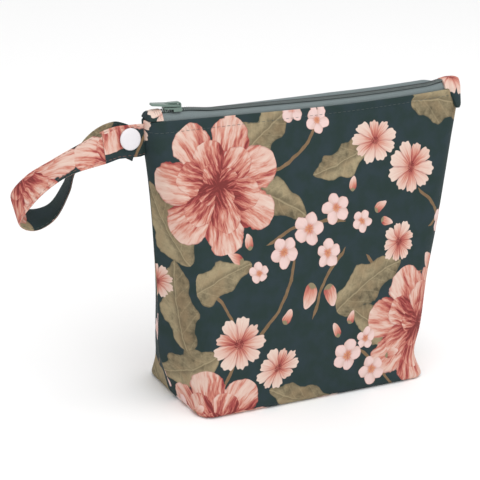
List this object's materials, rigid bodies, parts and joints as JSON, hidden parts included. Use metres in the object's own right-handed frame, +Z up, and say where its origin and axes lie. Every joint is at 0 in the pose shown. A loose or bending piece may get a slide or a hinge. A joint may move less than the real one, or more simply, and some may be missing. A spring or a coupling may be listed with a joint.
{
  "type": "waterproof bag",
  "caption": "Upright zip-top pouch of laminated printed cloth with a boxed base, narrowing to a zip along the top, with a looped side strap closed by a press stud.",
  "frame": {"origin": "middle of the flat base, on the surface that it stands on", "axes": "+X along the width with the strap at -X, +Y to the back with the front at -Y, +Z up"},
  "size_m": [0.2683, 0.0698, 0.1718],
  "materials": {
    "printed_cloth": "matt printed cloth, laminated, with pale flowers and khaki leaves on dark teal",
    "zip_tape": "woven blue-grey tape",
    "zip_coil": "moulded coil, satin",
    "painted_metal": "sage green enamel, satin",
    "snap_plastic": "white moulded plastic, gloss"
  },
  "bodies": {
    "bag": {"front_panel": "printed_cloth", "back_panel": "printed_cloth", "strap": "printed_cloth", "zip_tab_left": "printed_cloth", "zip_tab_right": "printed_cloth", "zip_tape_front": "zip_tape", "zip_tape_back": "zip_tape", "zip_chain": "zip_coil", "zip_slider": "painted_metal", "snap_cap": "snap_plastic", "snap_post": "snap_plastic"},
    "pull": {"zip_pull": "painted_metal"}
  },
  "joints": [
    {"name": "pull_hinge", "type": "hinge", "parent": "bag", "child": "pull", "pos_m": [-0.081, 0, 0.16993], "axis": [0, 1, 0], "range_deg": [0, 170]}
  ]
}
